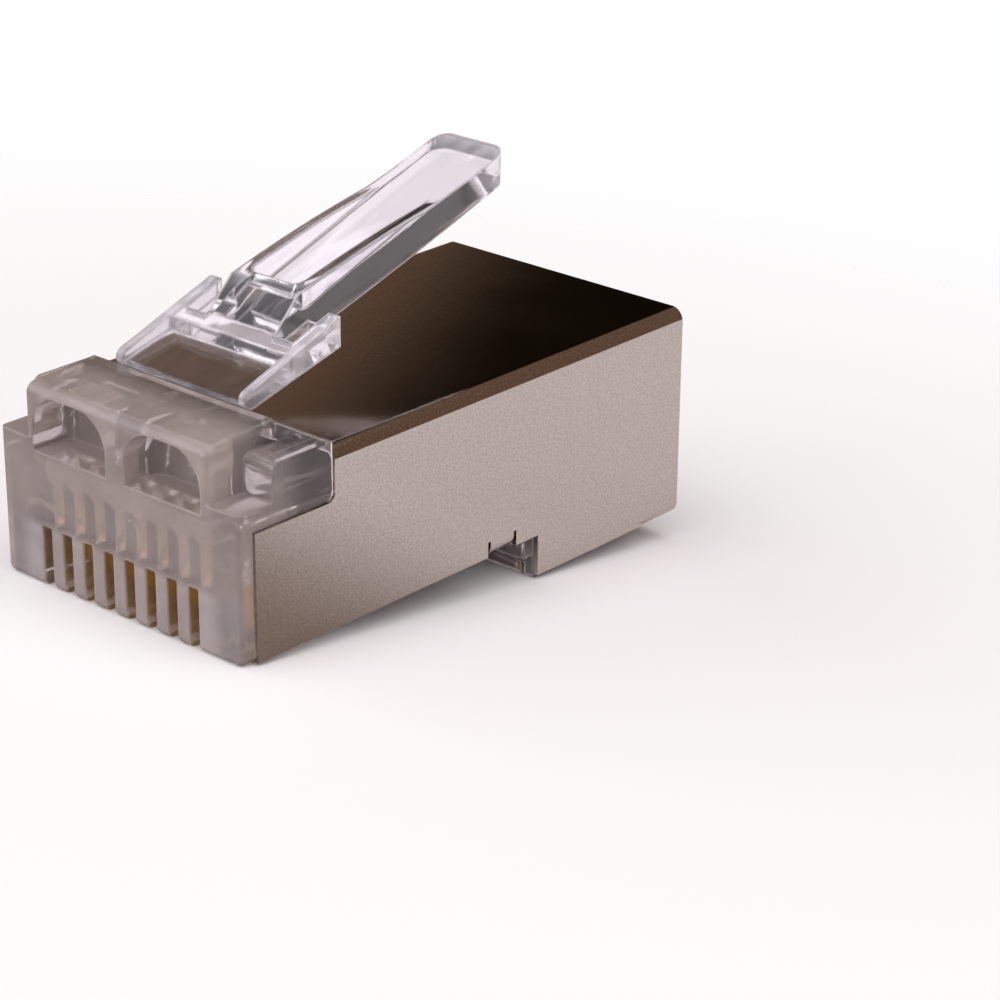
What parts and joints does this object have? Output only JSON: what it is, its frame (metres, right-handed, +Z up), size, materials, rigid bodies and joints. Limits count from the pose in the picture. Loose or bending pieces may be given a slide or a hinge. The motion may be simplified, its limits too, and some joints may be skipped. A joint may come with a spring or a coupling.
{
  "type": "shielded modular plug",
  "caption": "Modular plug in clear plastic with a folded metal shield, gold contact blades and a springy release latch.",
  "frame": {"origin": "middle of the footprint, on the plane of the rear section's underside", "axes": "+Z up, from the contact side to the latch side; +Y from the front face to the cable end; +X across the plug, to the right when looking from the front face towards the cable end with the latch up"},
  "size_m": [0.0116, 0.0224, 0.0144],
  "materials": {
    "clear_moulding": "clear polycarbonate, polished mould finish",
    "clear_latch": "clear polycarbonate, the same moulding as the housing",
    "shield_plate": "bright nickel plate on thin sheet brass, lightly brushed",
    "contact_gold": "gold plate over nickel"
  },
  "bodies": {
    "plug": {"housing": "clear_moulding", "shield": "shield_plate", "contact_1": "contact_gold", "contact_2": "contact_gold", "contact_3": "contact_gold", "contact_4": "contact_gold", "contact_5": "contact_gold", "contact_6": "contact_gold", "contact_7": "contact_gold", "contact_8": "contact_gold"},
    "latch": {"latch": "clear_latch"}
  },
  "joints": [
    {"name": "latch_press", "type": "hinge", "parent": "plug", "child": "latch", "pos_m": [0, -0.00787, 0.00934], "axis": [-1, 0, 0], "range_deg": [0, 19], "stiffness_Nm_per_rad": 0.02}
  ]
}
